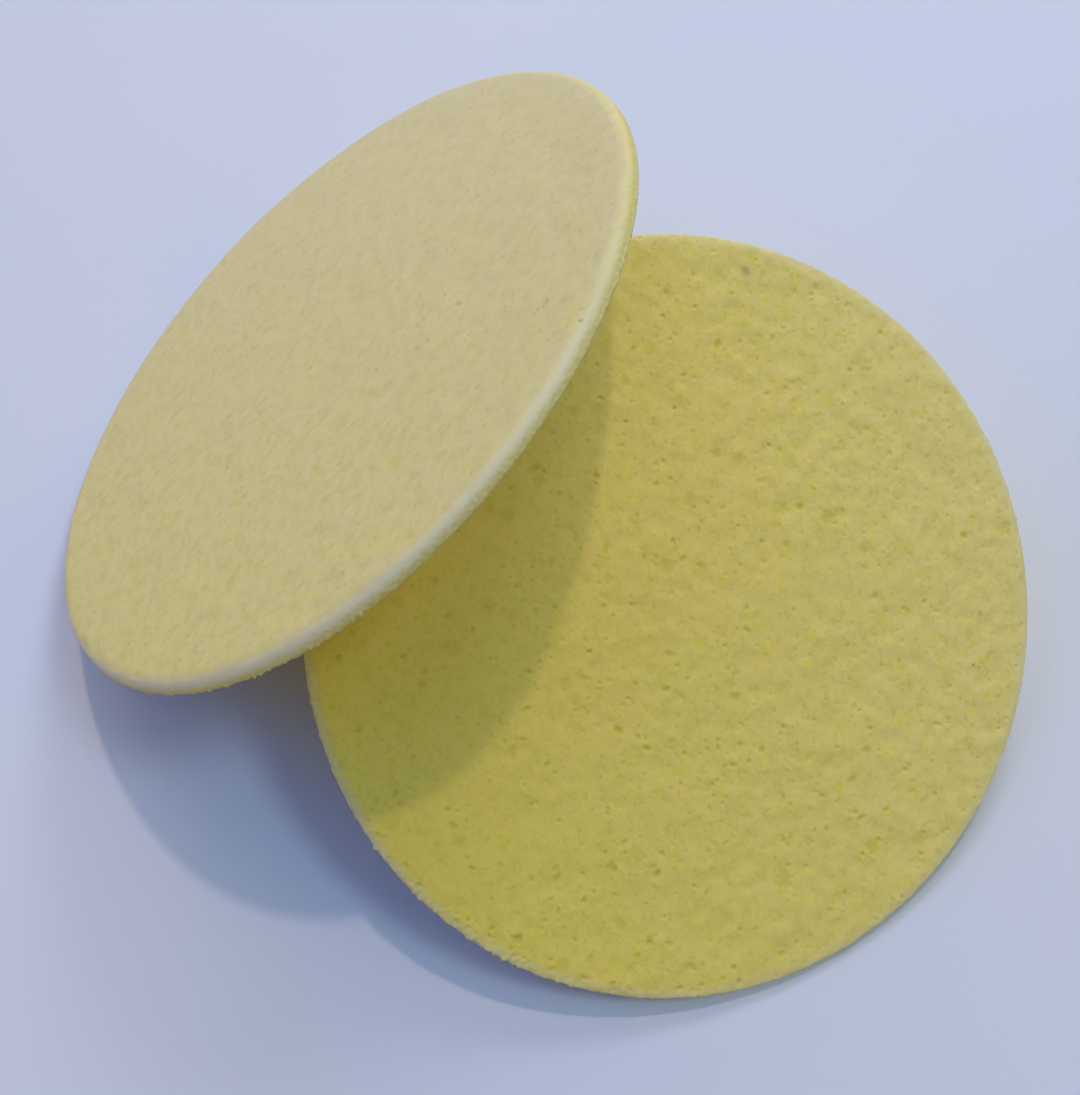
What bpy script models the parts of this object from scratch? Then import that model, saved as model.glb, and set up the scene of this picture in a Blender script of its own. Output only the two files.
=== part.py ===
"""A pair of dry facial sponge discs, pressed from cellulose foam, one leaning over the other.

Units are metres and +Z is up. The origin lies on the surface that the pair stands on, under the
middle of the pair's bounding box. +X runs from the leaning disc towards the lower disc.
"""

from math import cos, pi, radians, sin, sqrt, tau

import bmesh
import bpy
import numpy as np
from mathutils import Euler, Matrix, Vector

# The disc that both pieces are, punched from one sheet of pressed foam, measured over its lip
disc_diameter = 0.0700
disc_thickness = 0.00175

# The smooth face's edge, rolled over by the press: how far in it starts and how far down it reaches
shoulder_width = 0.00140
shoulder_height = 0.00100
shoulder_steps = 5

# The cut wall, drawn in a little between its two edges
waist_depth = 0.00007

# The lip that the punch tears outwards at the rough face
lip_flare = 0.00012
lip_height = 0.00030
lip_ragged = 0.00014
lip_wave_counts = (3, 7, 12, 19, 31)

# Facets round the rim, and the turn between faces from which an edge is shaded sharp
rim_facets = 120
sharp_edge_turn = radians(35)

# Open pores in the rough face, spread evenly and then shaken out of line
pore_count = 60
pore_radius_least = 0.00042
pore_radius_most = 0.00100
pore_depth = 0.00036
pore_shake = 0.00120
pore_rim_margin = 0.00250
pore_sink_share = 0.2
pore_length_share_most = 1.5
pore_uneven_share = 0.16
golden_turn = pi * (3 - sqrt(5))

# Starting numbers for the chance in each disc's lip and pores
lower_disc_seed = 11
leaning_disc_seed = 23

# How the lower disc lies: its lean from level, and the heading of its downhill side from +X
lower_lean = radians(23.4)
lower_heading = radians(-19.6)

# How the other disc leans over it, and how far it sits sideways of the lower disc's middle
leaning_lean = radians(39.6)
leaning_heading = radians(199.6)
leaning_side_shift = -0.0080

# Air between the lower disc's raised edge and the underside that leans on it
contact_gap = 0.00030

# Colours, as linear values
rough_foam_colour = (0.71, 0.575, 0.118, 1.0)
smooth_foam_colour = (0.73, 0.61, 0.22, 1.0)
rough_foam_roughness = 0.95
smooth_foam_roughness = 0.88


def clear_scene():
    """Empties the scene, so that only the pair is in it."""
    for obj in list(bpy.data.objects):
        bpy.data.objects.remove(obj, do_unlink=True)


def foam_material(name, colour, roughness):
    """A matt foam in one colour."""
    material = bpy.data.materials.new(name)
    material.use_nodes = True
    shader = material.node_tree.nodes["Principled BSDF"]
    shader.inputs["Base Color"].default_value = colour
    shader.inputs["Roughness"].default_value = roughness
    shader.inputs["Metallic"].default_value = 0.0
    material.diffuse_color = colour
    return material


def ragged_edge(random):
    """How far out the torn lip stands at each facet, from -1 to 1, as a sum of waves."""
    turns = (np.arange(rim_facets) + 0.5) / rim_facets
    waves = [np.sin(tau * (count * turns + random.random())) for count in lip_wave_counts]
    total = np.sum(waves, axis=0)
    return total / np.abs(total).max()


def rim_rings(random):
    """Radii and height of each ring of the rim, from the rough face up to the smooth one."""
    wall = disc_diameter / 2 - lip_flare
    even = np.ones(rim_facets)
    wall_top = disc_thickness - shoulder_height
    rings = [
        ((wall + lip_flare) * even + lip_ragged * ragged_edge(random), 0.0),
        (wall * even, lip_height),
        ((wall - waist_depth) * even, (lip_height + wall_top) / 2),
    ]
    for step in range(shoulder_steps + 1):
        turn = step / shoulder_steps * pi / 2
        rings.append(
            (
                (wall - shoulder_width * (1 - cos(turn))) * even,
                wall_top + shoulder_height * sin(turn),
            )
        )
    return rings


def disc_mesh(name, random):
    """The disc with its rough face at zero height and its smooth face up.

    A facet, not a corner, faces along +X, because the disc stands on that side.
    """
    shape = bmesh.new()
    angles = tau * (np.arange(rim_facets) + 0.5) / rim_facets
    loops = []
    for radii, height in rim_rings(random):
        corners = [
            shape.verts.new((r * cos(a), r * sin(a), height)) for r, a in zip(radii, angles)
        ]
        loops.append(
            [
                shape.edges.new((corners[index], corners[(index + 1) % rim_facets]))
                for index in range(rim_facets)
            ]
        )
    for lower, upper in zip(loops, loops[1:]):
        bmesh.ops.bridge_loops(shape, edges=lower + upper)
    for loop in (loops[0], loops[-1]):
        bmesh.ops.contextual_create(shape, geom=loop)
    bmesh.ops.recalc_face_normals(shape, faces=shape.faces)
    mesh = bpy.data.meshes.new(name)
    shape.to_mesh(mesh)
    shape.free()
    mesh.shade_smooth()
    mesh.set_sharp_from_angle(angle=sharp_edge_turn)
    return mesh


def pore_place(index, random):
    """The middle of one pore: a step of a sunflower's spiral, shaken out of line."""
    reach = disc_diameter / 2 - pore_rim_margin - pore_shake
    radius = reach * sqrt((index + 0.5) / pore_count)
    turn = index * golden_turn
    shake = pore_shake * random.random()
    shake_turn = tau * random.random()
    return Vector(
        (
            radius * cos(turn) + shake * cos(shake_turn),
            radius * sin(turn) + shake * sin(shake_turn),
            -pore_sink_share * pore_depth,
        )
    )


def pore_cutter(name, random):
    """Shallow, uneven ovals that open the pores in the rough face."""
    shape = bmesh.new()
    for index in range(pore_count):
        place = pore_place(index, random)
        # The square makes small pores the common ones
        width = pore_radius_least + (pore_radius_most - pore_radius_least) * random.random() ** 2
        length = width * (1 + (pore_length_share_most - 1) * random.random())
        turn = Matrix.Rotation(tau * random.random(), 3, "Z")
        made = bmesh.ops.create_icosphere(shape, subdivisions=2, radius=1)
        for vertex in made["verts"]:
            uneven = 1 + pore_uneven_share * (2 * random.random() - 1)
            oval = Vector((length * uneven, width * uneven, pore_depth)) * vertex.co
            vertex.co = place + turn @ oval
    mesh = bpy.data.meshes.new(name)
    shape.to_mesh(mesh)
    shape.free()
    cutter = bpy.data.objects.new(name, mesh)
    bpy.context.scene.collection.objects.link(cutter)
    cutter.hide_render = True
    cutter.display_type = "WIRE"
    return cutter


def make_disc(name, material, seed):
    """One disc with its pores, not yet placed."""
    random = np.random.default_rng(seed)
    mesh = disc_mesh(name, random)
    mesh.materials.append(material)
    disc = bpy.data.objects.new(name, mesh)
    bpy.context.scene.collection.objects.link(disc)
    cutter = pore_cutter(name + "_pores", random)
    cutter.parent = disc
    pores = disc.modifiers.new("Pores", "BOOLEAN")
    pores.operation = "DIFFERENCE"
    pores.solver = "EXACT"
    pores.object = cutter
    return disc


def turned_points(disc):
    """The disc's corners, turned as the disc is but not moved."""
    turn = disc.rotation_euler.to_matrix()
    return [turn @ vertex.co for vertex in disc.data.vertices]


def stand_on_surface(disc):
    """Lifts or lowers the disc until its lowest corner is at zero height."""
    disc.location.z = -min(point.z for point in turned_points(disc))


def lean_over(disc, lower):
    """Slides the disc along its heading until its underside just clears the lower disc's edge."""
    turn = disc.rotation_euler.to_matrix()
    smooth_side = turn @ Vector((0, 0, 1))
    sideways = turn @ Vector((0, 1, 0))
    heading = sideways.cross(Vector((0, 0, 1)))
    reach = max(smooth_side.dot(point + lower.location) for point in turned_points(lower))
    rise = smooth_side.z * disc.location.z
    run = (reach + contact_gap - rise) / smooth_side.dot(heading)
    along = run * heading + leaning_side_shift * sideways
    disc.location.x = along.x
    disc.location.y = along.y


def centre_pair(pair, discs):
    """Moves the empty that carries the discs until the origin is under the pair's middle."""
    points = [point + disc.location for disc in discs for point in turned_points(disc)]
    for axis in (0, 1):
        values = [point[axis] for point in points]
        pair.location[axis] = -(min(values) + max(values)) / 2


clear_scene()

rough_foam = foam_material("rough_side_foam", rough_foam_colour, rough_foam_roughness)
smooth_foam = foam_material("smooth_side_foam", smooth_foam_colour, smooth_foam_roughness)

pair_origin = bpy.data.objects.new("pair_origin", None)
bpy.context.scene.collection.objects.link(pair_origin)

# The lower disc lies rough face up, turned over about the line that runs downhill
lower_disc = make_disc("lower_disc", rough_foam, seed=lower_disc_seed)
lower_disc.rotation_euler = Euler((pi, lower_lean, lower_heading))
stand_on_surface(lower_disc)

# The other disc lies smooth face up and leans over the lower disc's raised edge
leaning_disc = make_disc("leaning_disc", smooth_foam, seed=leaning_disc_seed)
leaning_disc.rotation_euler = Euler((0.0, leaning_lean, leaning_heading))
stand_on_surface(leaning_disc)
lean_over(leaning_disc, lower_disc)

for each_disc in (lower_disc, leaning_disc):
    each_disc.parent = pair_origin
centre_pair(pair_origin, (lower_disc, leaning_disc))
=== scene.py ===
from math import ceil, cos, pi, radians, sin, tan, tau

import bpy
import numpy as np
from mathutils import Matrix, Vector, noise


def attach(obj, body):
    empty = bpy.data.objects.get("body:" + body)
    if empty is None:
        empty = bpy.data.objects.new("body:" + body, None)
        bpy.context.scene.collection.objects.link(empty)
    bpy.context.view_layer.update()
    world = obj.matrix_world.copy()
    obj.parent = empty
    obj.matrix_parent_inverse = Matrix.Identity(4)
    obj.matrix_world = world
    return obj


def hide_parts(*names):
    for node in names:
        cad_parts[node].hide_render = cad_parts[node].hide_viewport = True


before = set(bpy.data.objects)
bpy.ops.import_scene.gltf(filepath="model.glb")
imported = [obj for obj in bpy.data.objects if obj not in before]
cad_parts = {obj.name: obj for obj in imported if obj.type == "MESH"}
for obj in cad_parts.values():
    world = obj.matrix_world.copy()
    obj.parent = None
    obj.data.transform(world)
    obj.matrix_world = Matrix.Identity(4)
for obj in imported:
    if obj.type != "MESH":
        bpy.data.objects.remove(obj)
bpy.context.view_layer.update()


# The camera is held over the pair by hand, a little towards the near side, and looks steeply down.
# Its lens covers the whole picture without any shift.
camera_place = Vector((0.037348, -0.039564, 0.133263))
camera_heading = radians(131.76)
camera_dip = radians(66.72)
camera_roll = radians(0.11)
sensor_width_mm = 36.0
lens_mm = 45.53
nearest_sight = 0.01

bpy.ops.object.select_all(action="DESELECT")
bpy.ops.object.camera_add(
    location=camera_place,
    rotation=(pi / 2 - camera_dip, 0.0, camera_heading - pi / 2),
)
camera = bpy.context.object
camera.name = "camera"
camera.rotation_euler.rotate_axis("Z", camera_roll)
camera.data.sensor_fit = "HORIZONTAL"
camera.data.sensor_width = sensor_width_mm
camera.data.lens = lens_mm
camera.data.clip_start = nearest_sight
bpy.context.scene.camera = camera


# The lower sponge is a dry disc of pressed cellulose foam, punched from a sheet. It lies rough face
# up: that face is the torn, open side of the foam, full of pores. The press has rolled the edge of
# the other, smooth face, and the punch has left a ragged lip round the rough one.
disc_facets = 256
lip_width = 0.00130
lip_height = 0.00034
lip_steps = 4
waist_depth = 0.00010
wall_inset = 0.00012
shoulder_width = 0.00140
shoulder_height = 0.00100
shoulder_steps = 8
foam_voxel = 0.00024
same_way_cosine = 0.99999


def disc_frame(node):
    """Where a disc of the frame lies: its own axes and its rough face's middle, thickness and radius.

    The largest triangle belongs to the smooth face. In the disc's own axes that face is up and
    +X runs downhill.
    """
    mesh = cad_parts[node].data
    faces = mesh.polygons
    largest = max(faces, key=lambda face: face.area)
    up = largest.normal.copy()
    level = [face for face in faces if face.normal.dot(up) > same_way_cosine]
    area = sum(face.area for face in level)
    middle = sum((face.area * face.center for face in level), Vector()) / area
    offsets = [vertex.co - middle for vertex in mesh.vertices]
    heights = [up.dot(offset) for offset in offsets]
    thickness = -min(heights)
    radius = max((offset - up * height).length for offset, height in zip(offsets, heights))
    down = Vector((0, 0, -1))
    downhill = (down - up * up.dot(down)).normalized()
    axes = Matrix((downhill, up.cross(downhill), up)).transposed().to_4x4()
    return Matrix.Translation(middle - up * thickness) @ axes, thickness, radius


def rim_profile(radius, thickness):
    """Radius and height of each ring of the cut rim, from the rough face up to the smooth one."""
    wall_top = thickness - shoulder_height
    rings = []
    for step in range(lip_steps + 1):
        turn = step / lip_steps * pi / 2
        rings.append((radius - lip_width * (1 - sin(turn)), lip_height * (1 - cos(turn))))
    rings.append((radius - waist_depth, (lip_height + wall_top) / 2))
    for step in range(shoulder_steps + 1):
        turn = step / shoulder_steps * pi / 2
        rings.append(
            (
                radius - wall_inset - shoulder_width * (1 - cos(turn)),
                wall_top + shoulder_height * sin(turn),
            )
        )
    return rings


def punched_blank(name, radius, thickness, finer_from, finer_to):
    """The plain disc as the punch leaves it, its even mesh made finer between two heights."""
    rings = rim_profile(radius, thickness)
    bpy.ops.object.select_all(action="DESELECT")
    bpy.ops.mesh.primitive_circle_add(vertices=disc_facets, radius=rings[0][0], fill_type="NGON")
    disc = bpy.context.object
    disc.name = name
    disc.data.name = name
    bpy.ops.object.mode_set(mode="EDIT")
    for (radius_below, height_below), (radius_above, height_above) in zip(rings, rings[1:]):
        bpy.ops.mesh.extrude_region_move(
            TRANSFORM_OT_translate={"value": (0, 0, height_above - height_below)}
        )
        growth = radius_above / radius_below
        bpy.ops.transform.resize(value=(growth, growth, 1))
    bpy.ops.mesh.select_all(action="SELECT")
    bpy.ops.mesh.normals_make_consistent(inside=False)
    bpy.ops.object.mode_set(mode="OBJECT")
    even = disc.modifiers.new("Even mesh", "REMESH")
    even.mode = "VOXEL"
    even.voxel_size = foam_voxel
    even.use_smooth_shade = True
    bpy.ops.object.modifier_apply(modifier=even.name)
    for face in disc.data.polygons:
        face.select = finer_from < face.center.z < finer_to
    bpy.ops.object.mode_set(mode="EDIT")
    bpy.ops.mesh.select_mode(type="FACE")
    bpy.ops.mesh.subdivide(number_cuts=1, quadcorner="INNERVERT")
    bpy.ops.object.mode_set(mode="OBJECT")
    return disc


# The relief of a face is worked out on an even field of heights, a little wider than the disc
field_step = 0.00006
field_half_width = 0.0366
field_count = 2 * ceil(field_half_width / field_step)
field_line = (np.arange(field_count) - field_count / 2 + 0.5) * field_step
field_margin = 4


def soft_noise(chance, spread):
    """A field of smooth chance bumps, as wide as the spread, with an average swing of one."""
    rough = chance.standard_normal((field_count, field_count))
    waves = np.fft.fftfreq(field_count, field_step)
    fade = np.exp(-2 * (pi * spread * waves) ** 2)
    smooth = np.fft.irfft2(
        np.fft.rfft2(rough) * fade[:, None] * fade[: field_count // 2 + 1], s=rough.shape
    )
    return smooth / smooth.std()


class PoreField:
    """Hollows opened in a face, kept as depths on the field, with outlines that chance pulls about."""

    pull = 0.00005
    pull_spread = 0.00016

    def __init__(self, chance):
        self.depth = np.zeros((field_count, field_count))
        self.pull_x = self.pull * soft_noise(chance, self.pull_spread)
        self.pull_y = self.pull * soft_noise(chance, self.pull_spread)

    def open(self, x, y, radius, depth, softness, stretch=1.0, turn=0.0):
        """Opens one pore: a softness near 0 gives it steep walls, and one above 1 a faded edge."""
        reach = int(radius * max(stretch, 1.0) / field_step) + field_margin
        column = int(x / field_step + field_count / 2)
        row = int(y / field_step + field_count / 2)
        low_row, low_column = max(row - reach, 0), max(column - reach, 0)
        rows = slice(low_row, row + reach + 1)
        columns = slice(low_column, column + reach + 1)
        across = field_line[columns][None, :] - x + self.pull_x[rows, columns]
        along = field_line[rows][:, None] - y + self.pull_y[rows, columns]
        u = (across * cos(turn) + along * sin(turn)) / stretch
        v = along * cos(turn) - across * sin(turn)
        inside = np.clip(1 - (u * u + v * v) / radius**2, 0, 1)
        part = self.depth[rows, columns]
        np.maximum(part, depth * inside**softness, out=part)


def read_field(field, x, y):
    """The field's value at each point, blended between its samples."""
    u = x / field_step + field_count / 2 - 0.5
    v = y / field_step + field_count / 2 - 0.5
    column = np.clip(u.astype(int), 0, field_count - 2)
    row = np.clip(v.astype(int), 0, field_count - 2)
    u = np.clip(u - column, 0, 1)
    v = np.clip(v - row, 0, 1)
    low = field[row, column] * (1 - u) + field[row, column + 1] * u
    high = field[row + 1, column] * (1 - u) + field[row + 1, column + 1] * u
    return low * (1 - v) + high * v


# Both discs tore most on the side that left the punch last, here a quarter turn from downhill
torn_side = pi / 2
torn_half_turn = radians(70)
least_torn_share = 0.18
least_frayed_share = 0.72
# Painted light: on the side away from the torn one, a band along the smooth face's edge is paled
painted_light_edge_share = 0.35
painted_light_edge_width = 0.0032
# On the side away from the torn one the shoulder is narrower, and gets little painted sheen, so it is
# hardly paler than the face
narrow_shoulder_side = radians(-125)
narrow_side_sheen_cut = 0.85
sharper_share = 0.3

# Pores of the rough face by size: how many, least and greatest radius, and greatest depth
pore_sizes = (
    (3000, 0.00012, 0.00020, 0.00005),
    (1000, 0.00015, 0.00030, 0.00013),
    (90, 0.00028, 0.00050, 0.00019),
)
pore_softness = 1.4
pore_depth_least_share = 0.3
pore_stretch_most = 1.7

# The higher these are, the commoner are the small and the shallow pores
pore_size_bias = 1.6
pore_depth_bias = 1.3

# The pores open wider towards the torn side
pore_openness = 1.04
pore_openness_swing = 0.24

# Craters are wide and shallow, each half ringed by a crescent of small pores
crater_count = 36
crater_radius_least = 0.00050
crater_radius_most = 0.00090
crater_depth = 0.00007
crater_softness = 0.9
crescent_pores = 5
crescent_place_share = 0.8
crescent_step_share = 0.7
crescent_turn = radians(190)
crescent_radius_least = 0.00012
crescent_radius_most = 0.00024
crescent_depth = 0.00012

# Small pits crowd along the rim, most of them on the torn side
rim_pit_count = 150
rim_pit_reach = 0.00130
rim_pit_least_share = 0.3
rim_pit_spread = 0.9
rim_pit_radius_least = 0.00014
rim_pit_radius_most = 0.00032
rim_pit_depth = 0.00016

# Swells of the skin between the pores: how wide each is, and how high
swell_heights = ((0.00120, 0.000034), (0.00045, 0.000030), (0.00020, 0.000006))


def drawn(chance, least, most, bias=1.0):
    """A chance value between the two, which a bias above 1 pulls towards the least."""
    return least + (most - least) * chance.random() ** bias


def drawn_spot(chance, reach):
    """A distance from the middle and an angle, spread evenly over a disc as wide as the reach."""
    return reach * chance.random() ** 0.5, tau * chance.random()


def rough_face_relief(chance, radius):
    """Depth of the pores and height of the skin between them, over the rough face."""
    pores = PoreField(chance)
    for count, least, most, depth in pore_sizes:
        for _ in range(count):
            distance, angle = drawn_spot(chance, radius)
            openness = pore_openness + pore_openness_swing * sin(angle) * distance / radius
            pores.open(
                distance * cos(angle),
                distance * sin(angle),
                drawn(chance, least, most, pore_size_bias),
                openness * depth * drawn(chance, pore_depth_least_share, 1.0, pore_depth_bias),
                pore_softness,
                stretch=drawn(chance, 1.0, pore_stretch_most),
                turn=pi * chance.random(),
            )
    for _ in range(crater_count):
        distance, angle = drawn_spot(chance, radius - crater_radius_most)
        x, y = distance * cos(angle), distance * sin(angle)
        reach = drawn(chance, crater_radius_least, crater_radius_most)
        pores.open(x, y, reach, crater_depth, crater_softness)
        start = tau * chance.random()
        for index in range(crescent_pores):
            step = index + crescent_step_share * chance.random()
            around = start + crescent_turn * step / crescent_pores
            pores.open(
                x + crescent_place_share * reach * cos(around),
                y + crescent_place_share * reach * sin(around),
                drawn(chance, crescent_radius_least, crescent_radius_most),
                crescent_depth * chance.random(),
                pore_softness,
            )
    for _ in range(rim_pit_count):
        distance = radius - rim_pit_reach * drawn(chance, rim_pit_least_share, 1.0)
        angle = chance.normal(torn_side, rim_pit_spread)
        pores.open(
            distance * cos(angle),
            distance * sin(angle),
            drawn(chance, rim_pit_radius_least, rim_pit_radius_most),
            rim_pit_depth * chance.random(),
            pore_softness,
        )
    swell = sum(height * soft_noise(chance, spread) for spread, height in swell_heights)
    return pores.depth, swell


# The smooth face is pressed flat: it only has faint swells and a few pinholes
pinhole_count = 2000
pinhole_radius_least = 0.00010
pinhole_radius_most = 0.00026
pinhole_depth = 0.00003
pinhole_softness = 1.3
pinhole_stretch_most = 1.4
pinhole_size_bias = 2
pinhole_depth_bias = 1.5
smooth_swell_heights = ((0.00160, 0.000025), (0.00050, 0.000017), (0.00020, 0.000003))


def smooth_face_relief(chance, radius):
    """Depth of the pinholes and height of the skin between them, over the smooth face."""
    holes = PoreField(chance)
    for _ in range(pinhole_count):
        distance, angle = drawn_spot(chance, radius - shoulder_width)
        holes.open(
            distance * cos(angle),
            distance * sin(angle),
            drawn(chance, pinhole_radius_least, pinhole_radius_most, pinhole_size_bias),
            pinhole_depth * chance.random() ** pinhole_depth_bias,
            pinhole_softness,
            stretch=drawn(chance, 1.0, pinhole_stretch_most),
            turn=pi * chance.random(),
        )
    swell = sum(height * soft_noise(chance, spread) for spread, height in smooth_swell_heights)
    return holes.depth, swell


# What the punch does to the cut rim: torn cells in the wall, and teeth along the lip that run a
# little way up the wall
wall_bump = 0.000060
wall_bump_size = 0.00035
tooth_height = 0.00020
tooth_spacing = 0.00052
tooth_threshold = 0.08
tooth_run_share = 0.4
lip_wander = 0.00006
lip_wander_size = 0.0030
tooth_full_noise = 0.5
noise_shift = Vector((1.0, 2.0, 3.0))


def rim_roughness(points, seed):
    """How far out each point of the rim stands: bumps of torn cells, and the lip's teeth."""
    shift = seed * noise_shift
    bumps = np.empty(len(points))
    teeth = np.empty(len(points))
    for index, point in enumerate(points):
        place = Vector(point)
        bumps[index] = noise.noise(place / wall_bump_size + shift)
        flat = Vector((place.x, place.y, tooth_run_share * place.z))
        tooth = noise.noise(flat / tooth_spacing + shift) - tooth_threshold
        wander = noise.noise(flat / lip_wander_size + shift)
        teeth[index] = tooth_height * max(tooth, 0.0) / tooth_full_noise + lip_wander * wander
    return wall_bump * bumps, teeth


def ramp(value, low, high):
    """0 below low, 1 above high, and a smooth rise between them."""
    share = np.clip((value - low) / (high - low), 0, 1)
    return share * share * (3 - 2 * share)


def rise(value, size, shares):
    """The ramp between two shares of a size."""
    return ramp(value, size * shares[0], size * shares[1])


def spots(x, y, places):
    """How strongly each point lies in one of the round marks, each a place, a size and a strength."""
    cover = np.zeros(len(x))
    for spot_x, spot_y, size, strength in places:
        away = ((x - spot_x) ** 2 + (y - spot_y) ** 2) / size**2
        cover = np.maximum(cover, strength * np.exp(-away))
    return cover


def shoulder_drop(distance, radius, size):
    """How far the rolled shoulder, made smaller by the size, lies below the smooth face."""
    width = size * shoulder_width
    run = np.clip((distance - radius + wall_inset + width) / width, 0, 1)
    return size * shoulder_height * (1 - np.sqrt(1 - run**2))


# How far in from the edge the punch's work reaches, and where it is in full
rim_band = 0.0012
wall_reach = 0.0008
wall_full_reach = 0.0003
tooth_drop_share = 0.5
torn_full_cosine = 0.9

# Where the relief and each finish start and are in full: shares of the lip's height, of the
# shoulder's height below the smooth face, of the shoulder's width, or of the thickness
rough_relief_shares = (0.1, 0.8)
smooth_relief_shares = (-0.4, -0.08)
wall_end_shares = (-1.0, -0.5)
tooth_end_shares = (0.8, 2.0)
shoulder_shares = (-1.15, -0.75)
# Where the painted sheen fades out across the shoulder
rim_sheen_shares = (0.15, 0.90)
lip_end_shares = (1.2, 1.8)
side_change_shares = (0.35, 0.65)
narrow_shoulder_cosines = (0.35, 0.9)
frayed_from = 0.0001
frayed_to = 0.0014
# The rim's bumps ruffle the edges of its finishes and painted sheen by this much
rim_finish_waver = 2.5
# The pores and pinholes take painted shade, in full from this depth
shaded_pore_depth = 0.00012


def weather(disc, seed, radius, thickness, oval=(0.0, 0.0), curl=0.0, marks=(), flecks=()):
    """Gives the blank its pores, torn rim, slight oval and curl, and notes where each finish goes."""
    chance = np.random.default_rng(seed)
    mesh = disc.data
    points = np.empty(len(mesh.vertices) * 3)
    mesh.vertices.foreach_get("co", points)
    points = points.reshape(-1, 3)
    x, y, z = points.T.copy()
    distance = np.hypot(x, y)
    angle = np.arctan2(y, x)
    torn = ramp(np.cos(angle - torn_side), cos(torn_half_turn), torn_full_cosine)
    torn = least_torn_share + (1 - least_torn_share) * torn

    pore_depth, rough_swell = rough_face_relief(chance, radius)
    hole_depth, smooth_swell = smooth_face_relief(chance, radius)
    rough = 1 - rise(z, lip_height, rough_relief_shares)
    smooth = rise(z - thickness, shoulder_height, smooth_relief_shares)
    pore = read_field(pore_depth, x, y) * rough
    hole = read_field(hole_depth, x, y) * smooth
    z = z + pore - rough * read_field(rough_swell, x, y)
    z = z - hole + smooth * read_field(smooth_swell, x, y)
    narrow_shoulder = ramp(np.cos(angle - narrow_shoulder_side), *narrow_shoulder_cosines)
    kept = 1 - sharper_share * narrow_shoulder
    fuller = shoulder_drop(distance, radius, 1.0) - shoulder_drop(distance, radius, kept)
    z += fuller * ramp(z, lip_height, thickness - shoulder_height)

    on_rim = np.flatnonzero(distance > radius - rim_band)
    bumps, teeth = rim_roughness(points[on_rim], seed)
    rim_z = points[on_rim, 2]
    cut = ramp(distance, radius - wall_reach, radius - wall_full_reach)
    wall = cut[on_rim] * (1 - rise(rim_z - thickness, shoulder_height, wall_end_shares))
    lip = wall * (1 - rise(rim_z, lip_height, tooth_end_shares))
    teeth = teeth * torn[on_rim]
    out = wall * bumps + lip * teeth
    grown = 1 + out / distance[on_rim]
    x[on_rim] *= grown
    y[on_rim] *= grown
    z[on_rim] -= tooth_drop_share * lip * np.maximum(teeth, 0)

    stretch = 1 + oval[0] * np.cos(2 * angle) + oval[1] * np.sin(2 * angle)
    x *= stretch
    y *= stretch
    z += curl * np.maximum(-x / radius, 0) ** 2
    mesh.vertices.foreach_set("co", np.stack([x, y, z], axis=1).ravel())

    inward = radius - distance
    height = points[:, 2].copy()
    height[on_rim] += rim_finish_waver * bumps
    shoulder = rise(height - thickness, shoulder_height, shoulder_shares)
    # Painted sheen: a paler, bluer band on the rolled shoulder where it turns to the light, less of it
    # on the narrow side
    rim_sheen = shoulder * (1 - rise(inward, shoulder_width, rim_sheen_shares))
    rim_sheen *= 1 - narrow_side_sheen_cut * narrow_shoulder
    # Painted light: each face turns paler and bluer away from its torn side and yellower towards it,
    # standing in for the shade and yellow bounce light between the two discs
    painted_light = np.clip((1 - np.cos(angle - torn_side) * distance / radius) / 2, 0, 1)
    # The same painted light pales a band along the smooth face's edge
    painted_light_edge = painted_light * smooth * (1 - ramp(inward, 0, painted_light_edge_width))
    rim_sheen = np.maximum(rim_sheen, painted_light_edge_share * painted_light_edge)
    side = cut * (1 - shoulder)
    above_lip = rise(height, lip_height, lip_end_shares)
    # The lip's painted sheen and shade also run along this frayed band of the rough face
    fray = least_frayed_share + (1 - least_frayed_share) * torn
    fray = fray * (1 - ramp(inward, frayed_from, frayed_to))
    for name, values in {
        "pore": np.clip(pore / shaded_pore_depth, 0, 1) + np.clip(hole / pinhole_depth, 0, 1),
        "smooth_side": rise(height, thickness, side_change_shares),
        "painted_light": painted_light,
        "painted_rim_sheen": rim_sheen,
        "cut_wall": side * above_lip,
        "lip_sheen_and_shade": side * (1 - above_lip) * (1 - rough) + rough * fray,
        "torn": torn,
        "smudge": spots(x, y, marks),
        "fleck": spots(x, y, flecks),
    }.items():
        mask = mesh.attributes.new(name, "FLOAT", "POINT")
        mask.data.foreach_set("value", values.astype(np.float32))
    mesh.update()


class Signal:
    """A socket of a finish's nodes. Arithmetic on it adds the Math nodes that work it out."""

    def __init__(self, finish, socket):
        self.finish = finish
        self.socket = socket

    def maths(self, operation, *values):
        return self.finish.node("ShaderNodeMath", {"operation": operation}, dict(enumerate(values)))

    def __add__(self, other):
        return self.maths("ADD", self, other)

    def __rsub__(self, other):
        return self.maths("SUBTRACT", other, self)

    def __mul__(self, other):
        return self.maths("MULTIPLY", self, other)

    __radd__ = __add__
    __rmul__ = __mul__

    def from_to(self, first, last):
        """The first value where the signal is 0, the last where it is 1."""
        return first + (last - first) * self

    def below(self, limit):
        return self.maths("LESS_THAN", self, limit)

    def between(self, low, high):
        """0 where the signal is below low, 1 where it is above high."""
        settings = {"interpolation_type": "SMOOTHSTEP"}
        inputs = {"Value": self, "From Min": low, "From Max": high}
        return self.finish.node("ShaderNodeMapRange", settings, inputs)


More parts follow.
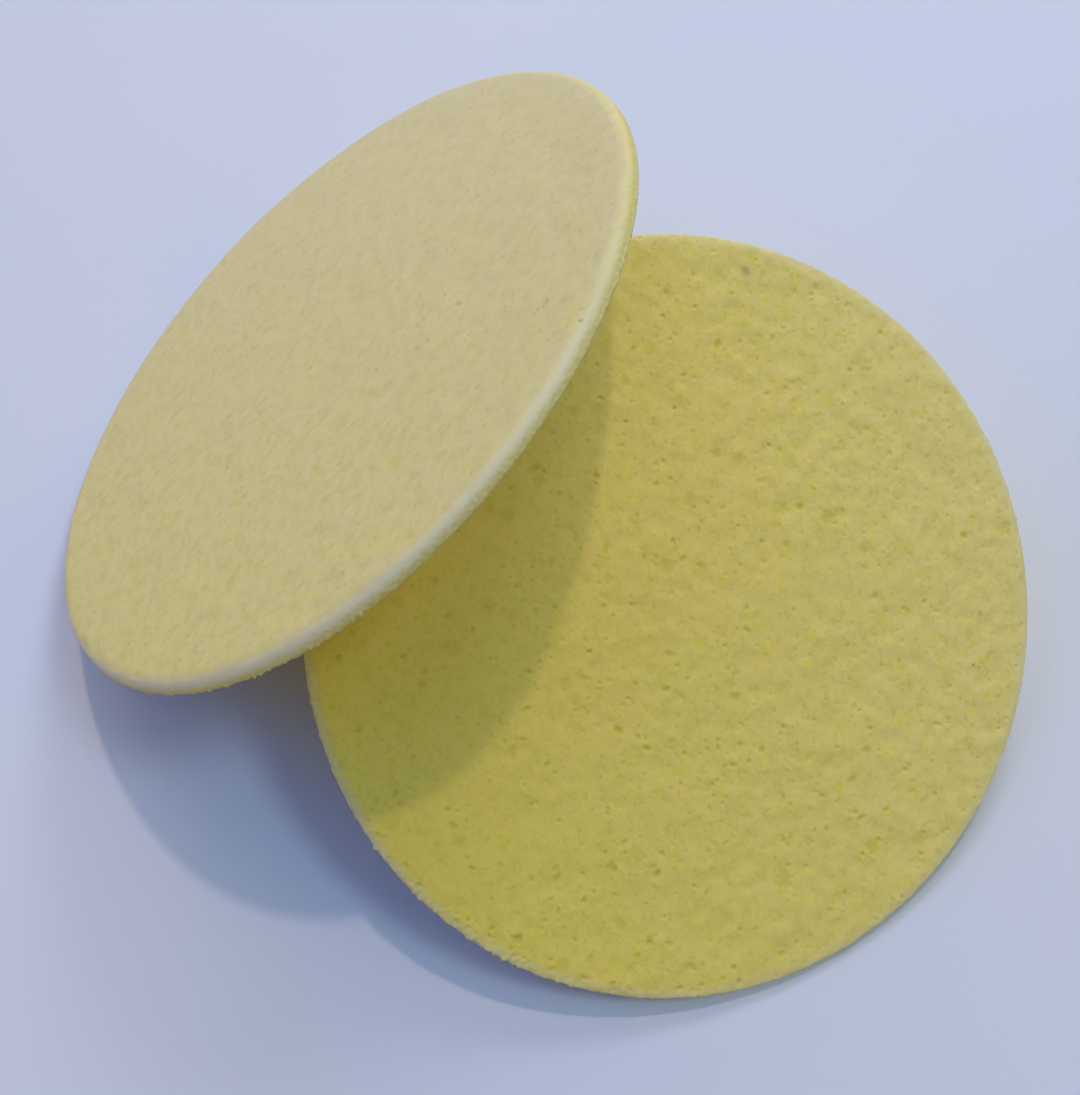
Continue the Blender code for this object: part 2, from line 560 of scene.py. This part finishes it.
class Finish:
    """A material, or the sky, under a plain name, with its nodes added one call at a time."""

    def __init__(self, name, kept_in=bpy.data.materials, shader="Principled BSDF"):
        self.material = kept_in.new(name)
        self.material.use_nodes = True
        self.nodes = self.material.node_tree.nodes
        self.shader = self.nodes[shader]

    def node(self, kind, settings, inputs, output=0):
        """Adds a node, sets it, then gives its sockets their values or links."""
        made = self.nodes.new(kind)
        for name, value in settings.items():
            setattr(made, name, value)
        self.feed(made, inputs)
        return Signal(self, made.outputs[output])

    def feed(self, node, inputs):
        for name, value in inputs.items():
            if isinstance(value, Signal):
                self.material.node_tree.links.new(value.socket, node.inputs[name])
            else:
                node.inputs[name].default_value = value

    def mask(self, name):
        return self.node("ShaderNodeAttribute", {"attribute_name": name}, {}, "Fac")

    def bumps(self, size, detail, shift):
        """Chance bumps about as wide as the size, from 0 to 1."""
        place = self.node("ShaderNodeTexCoord", {}, {}, "Object")
        moved = self.node("ShaderNodeMapping", {}, {"Vector": place, "Location": (shift, shift, shift)})
        inputs = {"Vector": moved, "Scale": 1 / size, "Detail": detail}
        return self.node("ShaderNodeTexNoise", {}, inputs)

    def patches(self, size, detail, shift, low, high):
        """Chance patches about as wide as the size: bare where the bumps are low, full where high."""
        return self.bumps(size, detail, shift).between(low, high)

    def specks(self, spacing, radius, kept_share, core_share):
        """Round dots with a solid core, one chance place in each cell, of which a share is kept."""
        place = self.node("ShaderNodeTexCoord", {}, {}, "Object")
        inputs = {"Vector": place, "Scale": 1 / spacing}
        reach = radius / spacing
        far = self.node("ShaderNodeTexVoronoi", {}, inputs, "Distance")
        colour = self.node("ShaderNodeTexVoronoi", {}, inputs, "Color")
        draw = self.node("ShaderNodeSeparateColor", {}, {"Color": colour}, "Red")
        return draw.below(kept_share) * (1 - far.between(core_share * reach, reach))

    def tint(self, factor, colour, other):
        """The colour, turned to the other one by the factor."""
        # Inputs 6 and 7 of a mix are its two colours, and output 2 is the mixed one
        inputs = {0: factor, 6: colour, 7: other}
        return self.node("ShaderNodeMix", {"data_type": "RGBA"}, inputs, 2)


rough_skin = (0.76, 0.598, 0.094, 1)
rough_warm = (0.79, 0.574, 0.105, 1)
rough_green = (0.74, 0.622, 0.085, 1)
# Painted light: the rough face's paler, bluer colour away from its torn side
rough_painted_light = (0.79, 0.638, 0.222, 1)
# Painted shade in the pores: darker and yellower than the skin, for the shade and yellow bounce inside
# them
pore_shade = (0.59, 0.490, 0.047, 1)
smooth_skin = (0.725, 0.611, 0.196, 1)
smooth_warm = (0.745, 0.595, 0.225, 1)
smooth_green = (0.695, 0.615, 0.164, 1)
# Painted light: the smooth face's paler, bluer colour away from its torn side
smooth_painted_light = (0.735, 0.625, 0.288, 1)
# Painted shade in the smooth face's pinholes
pinhole_shade = (0.54, 0.460, 0.105, 1)
# Painted sheen on the rolled shoulder
rim_sheen_pale = (0.77, 0.683, 0.405, 1)
# Painted shade: the cut wall is darker and greener than the skin, for the shade in its torn cells and
# under the shoulder
wall_shade_olive = (0.69, 0.612, 0.200, 1)
# Painted sheen: the lip is paler and bluer where its fibres catch the light
lip_sheen_pale = (0.78, 0.680, 0.350, 1)
# On the torn side the lip is darker and greyer: partly grime, partly painted shade in its open cells
lip_grime_and_shade = (0.60, 0.530, 0.285, 1)
speck_brown = (0.55, 0.330, 0.060, 1)
fleck_yellow = (0.78, 0.650, 0.060, 1)
smudge_grey = (0.20, 0.190, 0.150, 1)
foam_roughness = 0.92
foam_gloss = 0.25

# Chance patches of each tint: how wide they are, their detail and shift, and the bumps' heights
# from which and up to which they come in
warm_patches = (0.0030, 3.0, 0.0, 0.38, 0.66)
green_patches = (0.0022, 3.0, 0.7, 0.42, 0.68)
chalky_patches = (0.00045, 3.0, 1.3, 0.35, 0.70)
speckle_patches = (0.00050, 3.0, 4.7, 0.50, 0.80)
mottle_patches = (0.00130, 2.0, 6.1, 0.40, 0.75)
yellow_patches = (0.00120, 3.0, 8.2, 0.58, 0.76)

# How much of each is mixed in, where there are two on the rough face and then on the smooth one
warm_shares = (0.35, 0.6)
rough_green_share = 0.35
painted_light_share = 0.9
speckle_shares = (0.54, 0.44)
mottle_shares = (0.27, 0.34)
calm_share = 0.6
yellow_shares = (0.6, 0.3)
pore_share = 0.8
speck_share = 0.5
# Patches of the lip's painted sheen and shade, and of the shoulder's painted sheen, fall to these
# shares
least_lip_sheen_share = 0.50
least_rim_sheen_share = 0.75

# Specks of each colour: the spacing of their places, their radius, the share of places filled,
# and the share of the radius that is in full colour
brown_specks = (0.0026, 0.00016, 0.30, 0.6)
yellow_specks = (0.0016, 0.00022, 0.25, 0.6)

# Grain too fine to be modelled: how wide it is, its detail and shift
fine_grain = (0.00016, 4.0, 2.1)
coarse_grain = (0.00050, 2.0, 3.3)
coarse_grain_share = 0.7
grain_shares = (0.7, 0.2)
grain_depth = 0.000024


def foam_finish(name):
    """Matt pressed foam: painted shade, yellower and deeper, in the pores and on the cut wall; a paler
    painted sheen on the rolled shoulder and the lip; painted light paler away from the torn side.
    """
    foam = Finish(name)
    smooth_side = foam.mask("smooth_side")
    painted_light = foam.mask("painted_light")
    warm = foam.patches(*warm_patches)
    green = foam.patches(*green_patches)
    chalky = foam.patches(*chalky_patches)
    rough = foam.tint(warm * warm_shares[0], rough_skin, rough_warm)
    rough = foam.tint(green * rough_green_share, rough, rough_green)
    # Painted light, paler and bluer away from the torn side
    rough = foam.tint(painted_light * painted_light_share, rough, rough_painted_light)
    smooth = foam.tint(warm * warm_shares[1], smooth_skin, smooth_warm)
    smooth = foam.tint(green * chalky, smooth, smooth_green)
    smooth = foam.tint(painted_light * painted_light_share, smooth, smooth_painted_light)
    colour = foam.tint(smooth_side, rough, smooth)

    # Painted shade for the pores and pinholes; the random speckle and mottle below darken towards the
    # same colour
    shade = foam.tint(smooth_side, pore_shade, pinhole_shade)
    speckle = foam.patches(*speckle_patches) * smooth_side.from_to(*speckle_shares)
    mottle = foam.patches(*mottle_patches) * smooth_side.from_to(*mottle_shares)
    calm = 1 - calm_share * smooth_side * painted_light
    colour = foam.tint((speckle + mottle) * calm, colour, shade)
    yellow = foam.patches(*yellow_patches) * smooth_side.from_to(*yellow_shares)
    colour = foam.tint(yellow, colour, fleck_yellow)
    # Painted shade in the pores and pinholes
    colour = foam.tint(foam.mask("pore") * pore_share, colour, shade)
    colour = foam.tint(foam.specks(*brown_specks) * speck_share, colour, speck_brown)
    colour = foam.tint(foam.specks(*yellow_specks) * speck_share, colour, fleck_yellow)

    # Painted shade on the cut wall
    colour = foam.tint(foam.mask("cut_wall"), colour, wall_shade_olive)
    # Painted sheen on the lip and the rough face's frayed band, and on the torn side grime with painted
    # shade
    torn = foam.mask("lip_sheen_and_shade") * chalky.from_to(least_lip_sheen_share, 1)
    colour = foam.tint(torn, colour, foam.tint(foam.mask("torn"), lip_sheen_pale, lip_grime_and_shade))
    # Painted sheen on the rolled shoulder, and painted light along the smooth face's edge
    rim_sheen = foam.mask("painted_rim_sheen") * chalky.from_to(least_rim_sheen_share, 1)
    colour = foam.tint(rim_sheen, colour, rim_sheen_pale)
    colour = foam.tint(foam.mask("fleck"), colour, fleck_yellow)
    colour = foam.tint(foam.mask("smudge"), colour, smudge_grey)

    grain = foam.bumps(*fine_grain) + coarse_grain_share * foam.bumps(*coarse_grain)
    grain = grain * smooth_side.from_to(*grain_shares)
    inputs = {"Strength": 1.0, "Distance": grain_depth, "Height": grain}
    normal = foam.node("ShaderNodeBump", {}, inputs)
    inputs = {"Base Color": colour, "Roughness": foam_roughness, "Normal": normal}
    foam.feed(foam.shader, {**inputs, "Specular IOR Level": foam_gloss})
    return foam.material


lower_seed = 31
lower_oval = (0.0013, 0.0077)
lower_marks = (
    (-0.02591, -0.01979, 0.00045, 0.55),
    (0.01749, -0.02350, 0.00014, 0.95),
)

lower_place, disc_thickness, disc_radius = disc_frame("lower_disc")
lower_sponge = punched_blank(
    "lower_sponge",
    disc_radius,
    disc_thickness,
    finer_from=-lip_height,
    finer_to=disc_thickness - shoulder_height,
)
weather(
    lower_sponge,
    lower_seed,
    disc_radius,
    disc_thickness,
    oval=lower_oval,
    marks=lower_marks,
)
lower_sponge.data.transform(lower_place)
lower_sponge.data.materials.append(foam_finish("rough_side_foam"))
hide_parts("lower_disc")
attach(lower_sponge, "lower_disc")


# The leaning sponge is the same disc turned over: its smooth, pressed face is up, and its underside
# rests on the lower one's raised edge. It has dried with a faint curl along its raised side.
leaning_seed = 47
leaning_finer_from = 0.000102
leaning_oval = (0.0018, -0.0025)
leaning_curl = 0.00080
leaning_marks = (
    (-0.03440, 0.00119, 0.00016, 0.70),
    (-0.03400, 0.00004, 0.00020, 0.25),
)
leaning_flecks = (
    (-0.03305, 0.00134, 0.00044, 0.50),
    (-0.03342, 0.00050, 0.00040, 0.45),
    (-0.03378, -0.00041, 0.00045, 0.40),
)

leaning_place, disc_thickness, disc_radius = disc_frame("leaning_disc")
leaning_sponge = punched_blank(
    "leaning_sponge",
    disc_radius,
    disc_thickness,
    finer_from=leaning_finer_from,
    finer_to=disc_thickness + lip_height,
)
weather(
    leaning_sponge,
    leaning_seed,
    disc_radius,
    disc_thickness,
    oval=leaning_oval,
    curl=leaning_curl,
    marks=leaning_marks,
    flecks=leaning_flecks,
)
leaning_sponge.data.transform(leaning_place)
leaning_sponge.data.materials.append(foam_finish("smooth_side_foam"))
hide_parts("leaning_disc")
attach(leaning_sponge, "leaning_disc")


# The floor is a plain pale sheet, wide enough to fill the camera's view. Its share is how much of
# the light it sends back.
floor_width = 3.0
floor_gap = 0.0001
floor_share = 0.645
paper_roughness = 0.85

bpy.ops.object.select_all(action="DESELECT")
bpy.ops.mesh.primitive_plane_add(size=floor_width, location=(0, 0, -floor_gap))
floor = bpy.context.object
floor.name = "floor"
paper = Finish("pale_paper")
pale = (floor_share, floor_share, floor_share, 1)
paper.feed(paper.shader, {"Base Color": pale, "Roughness": paper_roughness})
floor.data.materials.append(paper.material)


# A ceiling lamp and a window throw the two soft shadows, blue light falls from above, and pale walls
# glow round the room. A desk lamp stands close by, so that the floor is brighter at the far side.

# Each lamp's heading, height above the floor and half-width, and how bright it makes the floor
far_lamps = (
    ("ceiling_lamp", 121.6, 66.3, 1.3, (0.111, 0.089, 0.080)),
    ("window", 36.9, 64.6, 5.9, (0.052, 0.077, 0.100)),
    ("skylight", 90.0, 89.0, 34.0, (0.065, 0.116, 0.195)),
    ("right_wall", 30.0, 40.0, 20.0, (0.053, 0.044, 0.017)),
    ("far_wall", 150.0, 40.0, 20.0, (0.069, 0.063, 0.051)),
    ("left_wall", 210.0, 40.0, 20.0, (0.014, 0.025, 0.114)),
    ("low_left_wall", 160.0, 13.0, 11.0, (0.016, 0.012, 0.014)),
    ("near_wall", 270.0, 13.0, 11.0, (0.020, 0.013, 0.008)),
)
desk_lamp = ("desk_lamp", 112.0, 48.1, (0.101, 0.106, 0.130))
desk_lamp_distance = 0.32
desk_lamp_half_width = 9.1
sky_glow = (0.003, 0.003, 0.005)
backdrop_glow = (0.40, 0.44, 0.60)


def add_lamp(kind, name, heading, height, glow, distance=1.0):
    """Adds a lamp that faces the origin, as strong as the floor's brightness asks for."""
    heading, height = radians(heading), radians(height)
    place = Vector((cos(height) * cos(heading), cos(height) * sin(heading), sin(height)))
    bpy.ops.object.light_add(
        type=kind,
        location=distance * place,
        rotation=(pi / 2 - height, 0.0, heading + pi / 2),
    )
    lamp = bpy.context.object
    lamp.name = name
    lamp.data.color = [value / max(glow) for value in glow]
    lamp.data.energy = max(glow) * pi / floor_share / sin(height)
    return lamp


for name, heading, height, half_width, glow in far_lamps:
    lamp = add_lamp("SUN", name, heading, height, glow)
    lamp.data.angle = 2 * radians(half_width)

lamp = add_lamp("AREA", *desk_lamp, distance=desk_lamp_distance)
lamp.data.shape = "DISK"
lamp.data.size = 2 * desk_lamp_distance * tan(radians(desk_lamp_half_width))
lamp.data.energy *= pi * desk_lamp_distance**2
lamp.visible_camera = False

# Past the floor's end the camera sees a backdrop as pale as the floor, which lights nothing
sky = Finish("sky", bpy.data.worlds, "Background")
seen = sky.node("ShaderNodeLightPath", {}, {}, "Is Camera Ray")
sky.feed(sky.shader, {"Color": sky.tint(seen, (*sky_glow, 1), (*backdrop_glow, 1))})
bpy.context.scene.world = sky.material
bpy.context.scene.view_settings.view_transform = "Standard"
